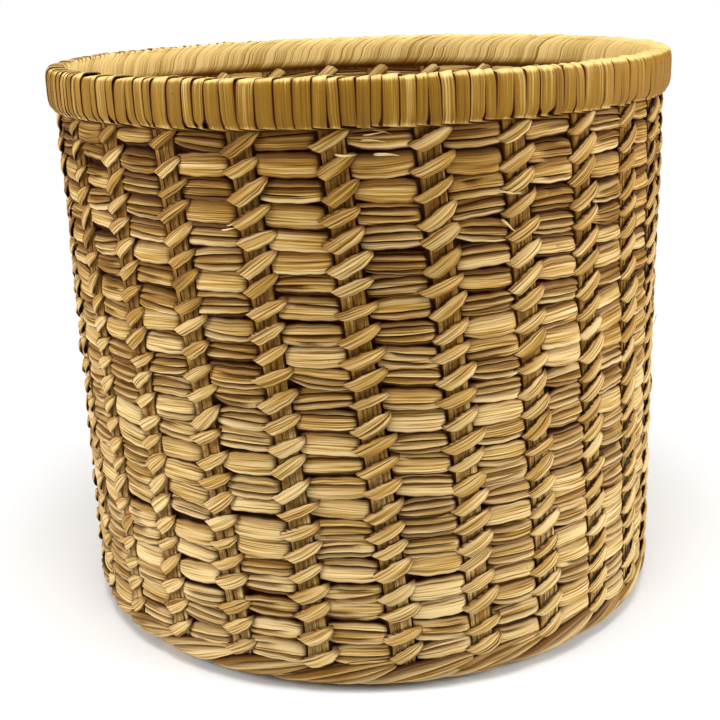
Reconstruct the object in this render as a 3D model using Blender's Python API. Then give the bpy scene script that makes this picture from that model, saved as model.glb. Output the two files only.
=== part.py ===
"""A round twined basket of rush: stakes, rounds of two-strand twining, a heel, a floor and a wrapped rim.

Metres, +Z up. The origin is the centre of the underside, on the surface that the basket stands on.
Stake 01 stands at the front (-Y) halfway up the wall, and the numbers run anticlockwise from above.
"""

import math

import bmesh
import bpy
from mathutils import Vector

# Pieces that touch lie this far apart
CLEARANCE = 0.00035

# Stakes: bundles of rush that run out from the middle of the floor and up the wall
STAKE_COUNT = 26
STAKE_WIDTH = 0.0088
STAKE_TIP_WIDTH = 0.0052
STAKE_DEPTH = 0.0036
STAKE_SIDE_DEPTH = 0.0020
STAKE_LEAN = math.radians(5.4)
STAKE_TIP_RADIUS = 0.028
WALL_RADIUS = 0.126
WALL_SPANS = 2

# Heel: where the stakes turn from the floor up into the wall
HEEL_RADIUS = 0.006
HEEL_SPANS = 2
HEEL_STRAND_THICKNESS = 0.0042
HEEL_STRAND_PINCH = 0.0016
HEEL_EDGE_THICKNESS = 0.0022
HEEL_STANDING_WIDTH = 0.0048
HEEL_INNER_STRAND_THICKNESS = 0.0026

# Wall courses: each is a strand folded in half, one half in front of the stakes and one behind
COURSE_COUNT = 24
COURSE_PITCH = 0.00865
FIRST_COURSE_HEIGHT = 0.0193
STITCH_HEIGHT = 0.0042
STITCH_THICKNESS = 0.0018
STITCH_SLANT = 0.0030
GAP_STRAND_THICKNESS = 0.0028
BACK_STRAND_THICKNESS = 0.0022
FOLD_DEPTH = 0.0012
FOLD_HEIGHT = 0.0034
FOLD_STEP = 7

# Floor: two woven layers with the stakes between them
FLOOR_LIFT = 0.0022
FLOOR_LAYER = 0.0024

# Rim: a core bundle on the stakes' tops, wrapped over and over with a strip
RIM_HEIGHT = 0.018
RIM_THICKNESS = 0.0108
RIM_OUTSET = 0.0018
RIM_WRAP_THICKNESS = 0.0011
RIM_ROUNDNESS = 3.0
RIM_SEGMENTS = 36
RIM_CORE_EASE = 0.0013
STAKE_IN_RIM = 0.0050

# What follows from the sizes above
SECTOR = 2 * math.pi / STAKE_COUNT
STAKE_BACK_UNDER = FLOOR_LIFT + FLOOR_LAYER + CLEARANCE + STAKE_DEPTH
HEEL_CENTRE_RADIUS = WALL_RADIUS - HEEL_RADIUS
HEEL_CENTRE_HEIGHT = STAKE_BACK_UNDER + HEEL_RADIUS
COURSE_HEIGHT = COURSE_PITCH - CLEARANCE
LAST_COURSE_HEIGHT = FIRST_COURSE_HEIGHT + (COURSE_COUNT - 1) * COURSE_PITCH
MIDDLE_HEIGHT = (FIRST_COURSE_HEIGHT + LAST_COURSE_HEIGHT) / 2
RIM_BOTTOM = LAST_COURSE_HEIGHT + COURSE_HEIGHT / 2 + CLEARANCE
RIM_CENTRE_RADIUS = WALL_RADIUS + STAKE_DEPTH / 2 + RIM_OUTSET
RIM_CENTRE_HEIGHT = RIM_BOTTOM + RIM_HEIGHT / 2
STAKE_TOP = RIM_BOTTOM + STAKE_IN_RIM

RUSH = (0.62, 0.44, 0.20)
RUSH_DARK = (0.50, 0.34, 0.14)
RUSH_PALE = (0.72, 0.54, 0.28)


def clear_scene():
    for old in list(bpy.data.objects):
        bpy.data.objects.remove(old)


def material(name, colour, roughness):
    made = bpy.data.materials.new(name)
    made.use_nodes = True
    shader = made.node_tree.nodes["Principled BSDF"]
    shader.inputs["Base Color"].default_value = (*colour, 1)
    shader.inputs["Roughness"].default_value = roughness
    shader.inputs["Metallic"].default_value = 0
    return made


def finish_mesh(bm, name, finish):
    """Turns a bmesh into a mesh with its faces pointing out."""
    bmesh.ops.recalc_face_normals(bm, faces=bm.faces)
    if bm.calc_volume(signed=True) < 0:
        bmesh.ops.reverse_faces(bm, faces=bm.faces)
    mesh = bpy.data.meshes.new(name)
    bm.to_mesh(mesh)
    bm.free()
    mesh.materials.append(finish)
    return mesh


def add_piece(name, mesh, height=0.0, turn=0.0):
    piece = bpy.data.objects.new(name, mesh)
    piece.location = (0, 0, height)
    piece.rotation_euler = (0, 0, turn)
    bpy.context.scene.collection.objects.link(piece)
    return piece


def around(angle, radius, height, side=0.0):
    """The point at a radius and a height on the ray at an angle, moved sideways along the tangent."""
    outward = Vector((math.cos(angle), math.sin(angle), 0))
    sideways = Vector((-math.sin(angle), math.cos(angle), 0))
    return radius * outward + side * sideways + Vector((0, 0, height))


def loft(bm, sections, closed):
    """Skins a row of sections. A closed row is a ring, and an open one is capped at both ends."""
    loops = []
    for section in sections:
        points = [bm.verts.new(point) for point in section]
        loops.append([bm.edges.new((a, b)) for a, b in zip(points, points[1:] + points[:1])])
    following = loops[1:] + loops[:1] if closed else loops[1:]
    for near, far in zip(loops, following):
        bmesh.ops.bridge_loops(bm, edges=near + far)
    if not closed:
        for end in (loops[0], loops[-1]):
            bmesh.ops.contextual_create(bm, geom=end)


def turned_ring(bm, profile, steps, first_angle):
    """A ring with a closed profile of (radius, height) points, spun in straight steps."""
    points = [bm.verts.new(around(first_angle, radius, height)) for radius, height in profile]
    edges = [bm.edges.new((a, b)) for a, b in zip(points, points[1:] + points[:1])]
    bmesh.ops.spin(
        bm, geom=points + edges, cent=(0, 0, 0), axis=(0, 0, 1), angle=2 * math.pi, steps=steps, use_merge=True
    )


def stake_angle(height):
    """How far the lean has turned a stake at a height, counted from the middle of the wall."""
    mid_depth = WALL_RADIUS + STAKE_DEPTH / 2
    return -(height - MIDDLE_HEIGHT) * math.tan(STAKE_LEAN) / mid_depth


def stake_section(angle, radius, height, out_tilt, width):
    """A stake's outline: a flat back, short sides and a crown. The crown faces out, or down at a tilt of 90 degrees."""
    outline = [
        (-width / 2, 0),
        (width / 2, 0),
        (width / 2, STAKE_SIDE_DEPTH),
        (0, STAKE_DEPTH),
        (-width / 2, STAKE_SIDE_DEPTH),
    ]
    return [
        around(angle, radius + out * math.cos(out_tilt), height - out * math.sin(out_tilt), side)
        for side, out in outline
    ]


def heel_point(distance, angle):
    """(radius, height) at a distance from the centre of the heel's bend, turned outwards from straight down."""
    return (
        HEEL_CENTRE_RADIUS + distance * math.sin(angle),
        HEEL_CENTRE_HEIGHT - distance * math.cos(angle),
    )


def stake_mesh(finish):
    foot_turn = stake_angle(HEEL_CENTRE_HEIGHT)
    sections = [stake_section(foot_turn, STAKE_TIP_RADIUS, STAKE_BACK_UNDER, math.pi / 2, STAKE_TIP_WIDTH)]
    for step in range(HEEL_SPANS):
        bend = math.pi / 2 * step / HEEL_SPANS
        radius, height = heel_point(HEEL_RADIUS, bend)
        sections.append(stake_section(foot_turn, radius, height, math.pi / 2 - bend, STAKE_WIDTH))
    for step in range(WALL_SPANS + 1):
        height = HEEL_CENTRE_HEIGHT + (STAKE_TOP - HEEL_CENTRE_HEIGHT) * step / WALL_SPANS
        sections.append(stake_section(stake_angle(height), WALL_RADIUS, height, 0, STAKE_WIDTH))
    bm = bmesh.new()
    loft(bm, sections, closed=False)
    return finish_mesh(bm, "stake", finish)


def back_strand_radius():
    """The corner radius of a back strand whose flats lie against the stakes' backs."""
    return (WALL_RADIUS - CLEARANCE) / math.cos(SECTOR / 2)


def gap_strand_radius():
    """The inner radius of a front strand between two stakes, where it lies on the back strand."""
    return back_strand_radius() + CLEARANCE


def fold_radius():
    """The inner radius of a front strand where it is folded, inside the back strand."""
    return back_strand_radius() - FOLD_DEPTH


def stitch_radius():
    """The inner radius of a stitch over a stake, so that its slanting run to a fold clears the stake."""
    gap_side = fold_radius() * math.sin(SECTOR / 2)
    gap_out = fold_radius() * math.cos(SECTOR / 2)
    corners = [(0, STAKE_DEPTH), (STAKE_WIDTH / 2, STAKE_SIDE_DEPTH)]
    needed = []
    for side, depth in corners:
        out = WALL_RADIUS + depth + CLEARANCE
        share = (side + STITCH_SLANT) / (gap_side + STITCH_SLANT)
        needed.append((out - share * gap_out) / (1 - share))
    return max(needed)


def front_strand_sections():
    """A slanting stitch over each stake and a full run in each gap. The first gap has the strand's fold."""
    stitch = stitch_radius()
    sections = []
    for stake in range(STAKE_COUNT):
        over = stake * SECTOR
        between = over + SECTOR / 2
        folded = stake == 0
        gap = fold_radius() if folded else gap_strand_radius()
        half_height = (FOLD_HEIGHT if folded else COURSE_HEIGHT) / 2
        sections.append([
            around(over, stitch, STITCH_HEIGHT / 2, -STITCH_SLANT),
            around(over, stitch + STITCH_THICKNESS, 0),
            around(over, stitch, -STITCH_HEIGHT / 2, STITCH_SLANT),
        ])
        sections.append([
            around(between, gap, half_height),
            around(between, gap + GAP_STRAND_THICKNESS, 0),
            around(between, gap, -half_height),
        ])
    return sections


def union(target, other):
    """Joins a helper object into the target's mesh for good, and removes it."""
    join = target.modifiers.new("join", "BOOLEAN")
    join.operation = "UNION"
    join.solver = "EXACT"
    join.object = other
    graph = bpy.context.evaluated_depsgraph_get()
    joined = bpy.data.meshes.new_from_object(target.evaluated_get(graph))
    target.modifiers.clear()
    target.data = joined
    bpy.data.objects.remove(other)


def course_mesh(finish):
    """One round of twining: the front strand and the back strand, which are one where the strand was folded."""
    front = bmesh.new()
    loft(front, front_strand_sections(), closed=True)
    corner = back_strand_radius()
    back = bmesh.new()
    profile = [
        (corner, COURSE_HEIGHT / 2),
        (corner, -COURSE_HEIGHT / 2),
        (corner - BACK_STRAND_THICKNESS, 0),
    ]
    turned_ring(back, profile, STAKE_COUNT, SECTOR / 2)
    for strand in (front, back):
        bmesh.ops.triangulate(strand, faces=strand.faces, quad_method="LONG_EDGE")
    whole = add_piece("course_front", finish_mesh(front, "course_front", finish))
    back_piece = add_piece("course_back", finish_mesh(back, "course_back", finish))
    bpy.context.view_layer.update()
    union(whole, back_piece)
    mesh = whole.data
    mesh.name = "course"
    bpy.data.objects.remove(whole)
    return mesh


def heel_twist_mesh(finish):
    """The heavy strands twisted round the outside of the heel. The basket stands on their flat underside."""
    crown = HEEL_RADIUS + STAKE_DEPTH + CLEARANCE
    seat = [heel_point(crown, math.pi / 2 * step / HEEL_SPANS) for step in range(HEEL_SPANS + 1)]
    inner_radius = HEEL_CENTRE_RADIUS + 2 * CLEARANCE
    seat[0] = (inner_radius, seat[0][1])
    wall_front = seat[-1][0]
    top = FIRST_COURSE_HEIGHT - COURSE_HEIGHT / 2 - CLEARANCE
    seat[-1] = (wall_front, top)
    sections = []
    for station in range(2 * STAKE_COUNT):
        pinches = (HEEL_STRAND_PINCH, 0) if station % 2 == 0 else (0, HEEL_STRAND_PINCH)
        lower, upper = [crown + HEEL_STRAND_THICKNESS - pinch for pinch in pinches]
        section = [
            (inner_radius, 0),
            (inner_radius + HEEL_STANDING_WIDTH, 0),
            heel_point(lower, math.radians(36)),
            heel_point(upper, math.radians(62)),
            (wall_front + HEEL_EDGE_THICKNESS, top),
        ]
        section += reversed(seat)
        angle = station * SECTOR / 2
        sections.append([around(angle, radius, height) for radius, height in section])
    bm = bmesh.new()
    loft(bm, sections, closed=True)
    return finish_mesh(bm, "heel_twist", finish)


def heel_inner_mesh(finish):
    """The strand that fills the corner between the floor and the wall, inside the stakes' bend."""
    seat = HEEL_RADIUS * math.cos(math.pi / 4 / HEEL_SPANS) - CLEARANCE
    points = [
        heel_point(seat, math.radians(6)),
        heel_point(seat, math.radians(34)),
        heel_point(seat, math.radians(62)),
        heel_point(seat - HEEL_INNER_STRAND_THICKNESS, math.radians(40)),
    ]
    to_corner = 1 / math.cos(SECTOR / 2)
    profile = [(radius * to_corner - CLEARANCE, height) for radius, height in points]
    bm = bmesh.new()
    turned_ring(bm, profile, STAKE_COUNT, SECTOR / 2)
    return finish_mesh(bm, "heel_inner", finish)


def disc_mesh(name, radius, thickness, finish):
    """A flat disc that stands on the plane z = 0."""
    bm = bmesh.new()
    bmesh.ops.create_cone(
        bm, cap_ends=True, segments=STAKE_COUNT, radius1=radius, radius2=radius, depth=thickness
    )
    bmesh.ops.translate(bm, verts=bm.verts, vec=(0, 0, thickness / 2))
    return finish_mesh(bm, name, finish)


def rim_outline(inset, first_turn, last_turn, steps):
    """(radius, height) points on the rim's rounded oblong outline, brought in by an inset."""
    half_width = RIM_THICKNESS / 2 - inset
    half_height = RIM_HEIGHT / 2 - inset
    power = 2 / RIM_ROUNDNESS
    points = []
    for step in range(steps + 1):
        turn = first_turn + (last_turn - first_turn) * step / steps
        across = math.copysign(abs(math.cos(turn)) ** power, math.cos(turn))
        up = math.copysign(abs(math.sin(turn)) ** power, math.sin(turn))
        points.append((RIM_CENTRE_RADIUS + half_width * across, RIM_CENTRE_HEIGHT + half_height * up))
    return points


def rim_turn_at(inset, offset):
    """The turn at which the outline lies this far to the side of its centre."""
    return math.acos((offset / (RIM_THICKNESS / 2 - inset)) ** (RIM_ROUNDNESS / 2))


def rim_wrap_mesh(finish):
    """The wrapping as one open channel, whose mouth lets the stakes in from below."""
    stake_front = (WALL_RADIUS + STAKE_DEPTH + CLEARANCE) / math.cos(math.pi / RIM_SEGMENTS)
    stake_back = WALL_RADIUS - CLEARANCE
    front_offset = stake_front - RIM_CENTRE_RADIUS
    back_offset = RIM_CENTRE_RADIUS - stake_back
    profile = []
    for inset, steps in ((0, 6), (RIM_WRAP_THICKNESS, 4)):
        first_turn = -rim_turn_at(inset, front_offset)
        last_turn = math.pi + rim_turn_at(inset, back_offset)
        points = rim_outline(inset, first_turn, last_turn, steps)
        profile += reversed(points) if inset else points + [(stake_back, RIM_BOTTOM)]
    bm = bmesh.new()
    turned_ring(bm, profile, RIM_SEGMENTS, 0)
    return finish_mesh(bm, "rim_wrap", finish)


def rim_core_mesh(finish):
    """The bundle inside the wrapping, flat below where it lies on the stakes' tops."""
    inset = RIM_WRAP_THICKNESS + RIM_CORE_EASE
    bottom = STAKE_TOP + CLEARANCE
    upper = rim_outline(inset, 0, math.pi, 4)
    profile = [(upper[0][0], bottom)] + upper[1:-1] + [(upper[-1][0], bottom)]
    bm = bmesh.new()
    turned_ring(bm, profile, RIM_SEGMENTS, 0)
    return finish_mesh(bm, "rim_core", finish)


def build():
    clear_scene()
    rush = material("rush", RUSH, 0.6)
    stake_rush = material("rush_stake", RUSH_DARK, 0.65)
    rim_rush = material("rush_rim", RUSH_PALE, 0.55)
    front = -math.pi / 2

    stake = stake_mesh(stake_rush)
    for number in range(STAKE_COUNT):
        add_piece(f"stake_{number + 1:02d}", stake, turn=front + number * SECTOR)

    course = course_mesh(rush)
    for number in range(COURSE_COUNT):
        height = FIRST_COURSE_HEIGHT + number * COURSE_PITCH
        fold_turn = number * FOLD_STEP * SECTOR
        add_piece(f"weft_course_{number + 1:02d}", course, height, front + stake_angle(height) + fold_turn)

    foot_turn = front + stake_angle(HEEL_CENTRE_HEIGHT)
    add_piece("heel_twist", heel_twist_mesh(rush), turn=foot_turn)
    add_piece("heel_inner_strand", heel_inner_mesh(rush), turn=foot_turn)

    floor_radius = HEEL_CENTRE_RADIUS
    add_piece("floor_lower_weft", disc_mesh("floor_lower", floor_radius, FLOOR_LAYER, rush), FLOOR_LIFT, foot_turn)
    upper_height = STAKE_BACK_UNDER + CLEARANCE
    add_piece("floor_upper_weft", disc_mesh("floor_upper", floor_radius, FLOOR_LAYER, rush), upper_height, foot_turn)
    start_radius = STAKE_TIP_RADIUS - CLEARANCE
    start_height = FLOOR_LIFT + FLOOR_LAYER + CLEARANCE
    add_piece("floor_start", disc_mesh("floor_start", start_radius, STAKE_DEPTH, stake_rush), start_height)

    add_piece("rim_core", rim_core_mesh(stake_rush))
    add_piece("rim_wrap", rim_wrap_mesh(rim_rush))


build()
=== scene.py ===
"""Dresses a round twined rush basket: strands, stakes, heel, floor and wrapped rim.

Metres, +Z up. The basket stands on z = 0 and is centred on the Z axis, with the camera on the -Y side.
Places along a round of weaving are counted in stakes: 0 is the middle of a stake, 0.5 the middle of the
gap after it. "Out" is the distance outwards from the middle of the stakes.

Every strand, stem and strip is a grid closed to a tube: "along" runs from 0 to 1 down its length and its rows
go round it. The first axis of each array counts the strands.
"""

import math

import bmesh
import bpy
import numpy as np
from mathutils import Euler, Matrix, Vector


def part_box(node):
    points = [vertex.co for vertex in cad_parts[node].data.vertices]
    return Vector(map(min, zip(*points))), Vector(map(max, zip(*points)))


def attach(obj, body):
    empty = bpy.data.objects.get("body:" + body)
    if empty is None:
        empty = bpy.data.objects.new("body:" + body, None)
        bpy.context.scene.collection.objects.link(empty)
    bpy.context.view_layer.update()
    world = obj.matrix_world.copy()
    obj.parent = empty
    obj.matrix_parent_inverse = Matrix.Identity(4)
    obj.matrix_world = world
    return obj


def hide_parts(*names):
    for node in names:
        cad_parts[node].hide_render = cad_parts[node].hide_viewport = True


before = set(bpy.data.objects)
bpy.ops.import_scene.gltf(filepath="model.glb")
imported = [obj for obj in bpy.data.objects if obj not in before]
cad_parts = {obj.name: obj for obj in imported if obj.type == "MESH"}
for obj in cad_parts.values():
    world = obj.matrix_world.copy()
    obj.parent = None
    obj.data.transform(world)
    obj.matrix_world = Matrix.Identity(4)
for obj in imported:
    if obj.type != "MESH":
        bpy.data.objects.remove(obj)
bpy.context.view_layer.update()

bl_info = {
    "name": "Twined Rush Basket",
    "version": (1, 0, 0),
    "blender": (4, 5, 0),
    "location": "3D View > Sidebar > Basket",
    "description": "Weaves a round twined basket of rush over its frame",
    "category": "Add Mesh",
}

MILLIMETRE = 0.001

# Taken from the frame
STAKE_NODES = sorted(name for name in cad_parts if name.startswith("stake_"))
COURSE_NODES = sorted(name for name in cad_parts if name.startswith("weft_course_"))
COURSE_HEIGHTS = [(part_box(name)[0][2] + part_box(name)[1][2]) / 2 for name in COURSE_NODES]
LOWEST, HIGHEST = COURSE_HEIGHTS[0], COURSE_HEIGHTS[-1]
STAKE_COUNT = len(STAKE_NODES)
SECTOR = 2 * math.pi / STAKE_COUNT
PITCH = (HIGHEST - LOWEST) / (len(COURSE_HEIGHTS) - 1)
MIDDLE_HEIGHT = (LOWEST + HIGHEST) / 2
STAKE_FRONT_RADIUS = -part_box(STAKE_NODES[0])[0][1]
RIM_LOW, RIM_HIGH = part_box("rim_wrap")
FLOOR_MIDDLE = (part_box("floor_lower_weft")[0][2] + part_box("floor_upper_weft")[1][2]) / 2
FLOOR_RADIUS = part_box("floor_lower_weft")[1][0]
START_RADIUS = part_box("floor_start")[1][0]

# The stakes as the frame has them
STAKE_DEPTH = 0.0036
STAKE_LEAN = math.radians(5.4)
HEEL_BEND_RADIUS = 0.006
BEND = HEEL_BEND_RADIUS + STAKE_DEPTH / 2
FRONT_ANGLE = -math.pi / 2
WALL_MIDDLE = STAKE_FRONT_RADIUS - STAKE_DEPTH / 2

# Stakes stand a little unevenly: this wave carries them sideways round the wall
DRIFT_ANGLE = math.radians(1.5)
DRIFT_WAVES = 3
DRIFT_PHASE = math.radians(276)

# How weft lies: its size beside the tables below, and the partner strands inside, which lie closer to the
# stakes, cover more of the wall and stray less than those outside
WEFT_SIZE = PITCH / 0.00865
INSIDE_OUT = 0.92
INSIDE_COVER = 1.16
HIDDEN_PLAY = 0.4

# The rim's section, and how far in from its outline the strips and the bundle under them lie
RIM_HALF_WIDTH = 0.0054
RIM_SQUARENESS = 4.0
STRIP_INSET = 0.0013
BUNDLE_INSET = 0.0018

# The floor: within this radius a strand steps over two stakes at once. Its middle is plaited of wide strips.
PAIRED_RADIUS = 0.062
PLAIT_PITCH = 0.0086

# What shows of a weft strand: its run across the gap between two stakes, then its stitch over the next stake.
# Each line: place, upper edge, lower edge, out, thickness. All but the place are in millimetres.
GAP_RUN = [
    (-0.874, 3.2, -3.9, -0.9, 1.5),
    (-0.846, 3.9, -4.2, 0.3, 2.1),
    (-0.790, 4.2, -4.35, 1.0, 2.4),
    (-0.650, 4.4, -4.4, 1.35, 2.6),
    (-0.500, 4.4, -4.4, 1.45, 2.7),
    (-0.350, 4.4, -4.4, 1.35, 2.6),
    (-0.250, 4.2, -4.3, 1.1, 2.5),
    (-0.195, 4.0, -4.2, 0.7, 2.3),
    (-0.160, 3.6, -4.0, 0.0, 2.0),
    (-0.125, 2.8, -3.6, -1.1, 1.5),
]
STITCH = [
    (-0.214, -3.9, -6.6, 0.7, 0.6),
    (-0.187, -3.5, -6.6, 2.2, 0.9),
    (-0.138, -2.6, -5.8, 2.7, 1.1),
    (-0.080, -1.3, -4.6, 3.1, 1.2),
    (-0.010, 0.2, -3.0, 3.35, 1.3),
    (0.070, 1.9, -1.1, 3.35, 1.3),
    (0.141, 3.3, 0.9, 3.0, 1.2),
    (0.205, 4.4, 2.6, 2.5, 1.0),
    (0.250, 5.0, 4.1, 1.5, 0.7),
]
# A stitch slants, so its upper edge is set back and its lower edge forward by this share of a stake
STITCH_SKEW = 0.072
# A heavy strand of the heel, climbing round the bend. Its edges are measured round the bend from its middle.
HEEL_STRAND = [
    (-0.94, -5.4, -7.6, -0.4, 1.6),
    (-0.82, -3.2, -9.3, 0.9, 2.7),
    (-0.56, 0.4, -9.8, 1.9, 3.6),
    (-0.28, 3.8, -8.4, 2.5, 4.1),
    (0.00, 7.0, -5.8, 2.7, 4.2),
    (0.28, 9.2, -3.0, 2.5, 4.1),
    (0.56, 10.4, 0.4, 1.9, 3.6),
    (0.82, 10.5, 4.0, 0.9, 2.7),
    (0.94, 9.4, 6.0, -0.4, 1.6),
]

# How a run, a stitch and a heel strand differ: shares of their play, of a fold's depth and painted shade, of
# the painted highlight line along the lower edge, of the painted shade at the edges and over the upper part
# (gloom), and so on
RUN_STYLE = {
    "table": GAP_RUN, "tone_spread": 0.03, "shared_lift": 1, "tilt": 1.3, "bow": 1.4, "slide": 0.004,
    "gloom": 1, "extra_gloom": 0, "tapers": True, "most_folds": 4, "fold_chance": 0.75, "fold_shade": 1,
    "crease": 1.1, "strip_spread": 0.07, "strip_tone": 1, "highlight_edge": 1, "edge_shade": 1, "extra_back": 0,
    "girth": 0.0088, "fibre_stretch": 1,
}
STITCH_STYLE = {
    **RUN_STYLE, "table": STITCH, "tone_spread": 0.06, "shared_lift": 0.5, "tilt": 1.6, "bow": 0.8,
    "slide": 0.014, "gloom": 0.4, "tapers": False, "most_folds": 2, "fold_shade": 0.22, "crease": 0.18,
    "strip_tone": 0.25, "highlight_edge": 0.4, "edge_shade": 0.55, "extra_back": 0.0009, "girth": 0.0056,
    "fibre_stretch": 1.15,
}
HEEL_STYLE = {
    **RUN_STYLE, "table": HEEL_STRAND, "extra_gloom": 0.22, "tapers": False, "fold_chance": 1.0, "crease": 2.1,
    "strip_spread": 0.13,
}

# Frayed fibres that stand off the wall: place, height, slant in degrees, length, width, how far the tip stands
# off. All but the place and the slant are in millimetres.
FRAYED_ENDS = [
    (1.73, 187.9, -52, 6.5, 1.1, 1.2),
    (1.70, 198.2, -18, 9.5, 0.6, 1.7),
    (1.82, 196.3, 8, 6.0, 0.5, 1.3),
    (0.26, 217.9, 14, 9.0, 0.7, 1.2),
    (0.31, 219.8, 9, 8.0, 0.6, 1.5),
    (0.42, 221.6, 4, 6.0, 0.5, 1.1),
    (0.40, 213.1, 10, 8.5, 1.0, 0.9),
    (0.00, 213.7, -14, 7.5, 0.8, 0.8),
    (-1.38, 186.0, 12, 8.0, 0.6, 1.5),
    (-1.30, 187.9, 5, 5.5, 0.5, 1.1),
    (1.03, 222.0, 40, 8.0, 0.6, 1.5),
    (1.12, 220.8, 52, 7.0, 0.5, 1.7),
    (2.45, 174.6, 14, 9.0, 0.6, 1.3),
    (-3.60, 131.0, -20, 8.0, 0.5, 1.4),
    (5.60, 118.0, 24, 8.5, 0.6, 1.4),
    (8.40, 203.0, -16, 9.0, 0.6, 1.5),
    (12.30, 64.0, 18, 7.5, 0.6, 1.2),
    (-7.70, 152.0, 30, 8.0, 0.5, 1.5),
    (-10.40, 212.0, -12, 9.0, 0.7, 1.2),
]

# The rush, and how it differs in each group of pieces. A higher tone shift is paler, a higher depth makes the
# painted shade darker in the folds, at the edges and deep between strands. The stake rush's lower tone shift
# is painted shade, for stakes that lie back between the stitches.
RUSH = {"Fibre spacing": 0.00058, "Streak spacing": 0.0018, "Tone shift": 0.0, "Depth": 1.0, "Contrast": 1.0}
FINISHES = {
    "Weft rush": {},
    "Stake rush": {"Fibre spacing": 0.0005, "Streak spacing": 0.0011, "Tone shift": -0.14, "Depth": 0.90,
                   "Contrast": 0.8},
    "Rim strip": {"Streak spacing": 0.0024, "Tone shift": -0.06, "Contrast": 0.45},
    "Rim bundle": {"Tone shift": -0.12, "Depth": 0.9},
}

# Lamps: name, place, width, watts. All point at the middle of the wall.
LAMPS = (
    ("Top", (0.0, -0.30, 1.6), 0.9, 22),
    ("Left", (-1.40, -0.38, 0.7), 0.7, 19.5),
    ("Right", (1.40, -0.38, 0.7), 0.7, 21.5),
)
LAMP_TARGET = (0, 0, 0.10)
WORLD_STRENGTH = 0.155


class BasketSettings(bpy.types.PropertyGroup):
    """Sizes and colours of the basket's finish."""

    crease_depth: bpy.props.FloatProperty(
        name="Crease depth", description="How deep the folds in a weft strand are", default=0.0013,
        unit="LENGTH",
    )
    strand_play: bpy.props.FloatProperty(
        name="Strand play", description="How far strands stray from an even weave", default=0.00035,
        unit="LENGTH",
    )
    row_wave: bpy.props.FloatProperty(
        name="Row wave", description="How far the rounds rise and fall on their way round", default=0.0009,
        unit="LENGTH",
    )
    stem_width: bpy.props.FloatProperty(
        name="Stem width", description="Width of one rush stem in a stake", default=0.0026, unit="LENGTH",
    )
    strip_width: bpy.props.FloatProperty(
        name="Rim strip width", description="Width of the strip that wraps the rim", default=0.0053,
        unit="LENGTH",
    )
    strip_thickness: bpy.props.FloatProperty(
        name="Rim strip thickness", description="Thickness of the strip that wraps the rim", default=0.0008,
        unit="LENGTH",
    )
    pale: bpy.props.FloatVectorProperty(
        name="Pale straw", description="Lightest rush", default=(0.77, 0.575, 0.27), subtype="COLOR",
    )
    honey: bpy.props.FloatVectorProperty(
        name="Honey", description="Common colour of the rush", default=(0.44, 0.245, 0.044), subtype="COLOR",
    )
    olive: bpy.props.FloatVectorProperty(
        name="Olive brown", description="Darker rush", default=(0.195, 0.088, 0.010), subtype="COLOR",
    )
    rim_pale: bpy.props.FloatVectorProperty(
        name="Pale rim", description="Lightest strip of the rim", default=(0.83, 0.585, 0.215),
        subtype="COLOR",
    )
    rim_honey: bpy.props.FloatVectorProperty(
        name="Honey rim", description="Common colour of the rim's strips", default=(0.290, 0.147, 0.0095),
        subtype="COLOR",
    )
    # Painted shade: the brown that the rush is darkened towards at edges, folds, ends and backs, where shade
    # falls
    shade_brown: bpy.props.FloatVectorProperty(
        name="Shade brown", description="Rush towards its edges, where it darkens", default=(0.15, 0.052, 0.004),
        subtype="COLOR",
    )
    # Painted deep shade between strands and in seams, and also the colour of the rush's dark specks and fibre
    # lines
    shadow: bpy.props.FloatVectorProperty(
        name="Deep brown", description="Rush deep in the weave", default=(0.042, 0.0105, 0.0006),
        subtype="COLOR",
    )


def ramp(value, low, high):
    """Rises smoothly from 0 at low to 1 at high."""
    share = np.clip((value - low) / (high - low), 0, 1)
    return share * share * (3 - 2 * share)


def smooth_curve(places, points, values):
    """Reads a smooth curve through the points, with its slope at each from the points on both sides."""
    slopes = np.gradient(values, points)
    step = np.clip(np.searchsorted(points, places) - 1, 0, len(points) - 2)
    span = points[step + 1] - points[step]
    share = np.clip((places - points[step]) / span, 0, 1)
    square, cube = share ** 2, share ** 3
    return (
        (2 * cube - 3 * square + 1) * values[step]
        + (cube - 2 * square + share) * span * slopes[step]
        + (3 * square - 2 * cube) * values[step + 1]
        + (cube - square) * span * slopes[step + 1]
    )


def stake_angle(place, height, sector=SECTOR):
    """The angle of a place on a round, with the stakes' lean and drift."""
    lean = (height - MIDDLE_HEIGHT) * math.tan(STAKE_LEAN) / WALL_MIDDLE
    angle = FRONT_ANGLE + place * sector - lean
    return angle + DRIFT_ANGLE * np.sin(DRIFT_WAVES * angle + DRIFT_PHASE)


def ring_points(radius, angle, height):
    """Points round the Z axis."""
    return np.stack([radius * np.cos(angle), radius * np.sin(angle), height], axis=-1)


def row_rise(angle, height):
    """How far the rounds rise and fall on their way round, which fades out at the heel and the rim."""
    wave = bpy.context.scene.basket.row_wave
    along = np.clip((height - LOWEST) / (HIGHEST - LOWEST), 0, 1)
    swell = np.sin(math.pi * along)
    return wave * swell * (np.sin(2 * angle + 0.8) + 0.5 * np.sin(5 * angle + 6 * along))


def on_wall(place, out, height):
    """Points of the wall, from a place counted in stakes, a distance out and a height."""
    angle = stake_angle(place, height)
    return ring_points(WALL_MIDDLE + out, angle, height + row_rise(angle, height))


def on_floor(place, out, radius, sector):
    """Points of the floor, whose outer face looks down."""
    return ring_points(radius, stake_angle(place, LOWEST, sector), FLOOR_MIDDLE - out)


def on_bend(place, out, round_bend):
    """Points of the heel's bend: a distance out and a way round the bend from its middle."""
    turn = math.pi / 4 + round_bend
    radius = WALL_MIDDLE - BEND + (BEND + out) * np.sin(turn)
    height = np.maximum(FLOOR_MIDDLE + BEND - (BEND + out) * np.cos(turn), 0)
    return ring_points(radius, stake_angle(place, LOWEST), height)


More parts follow.
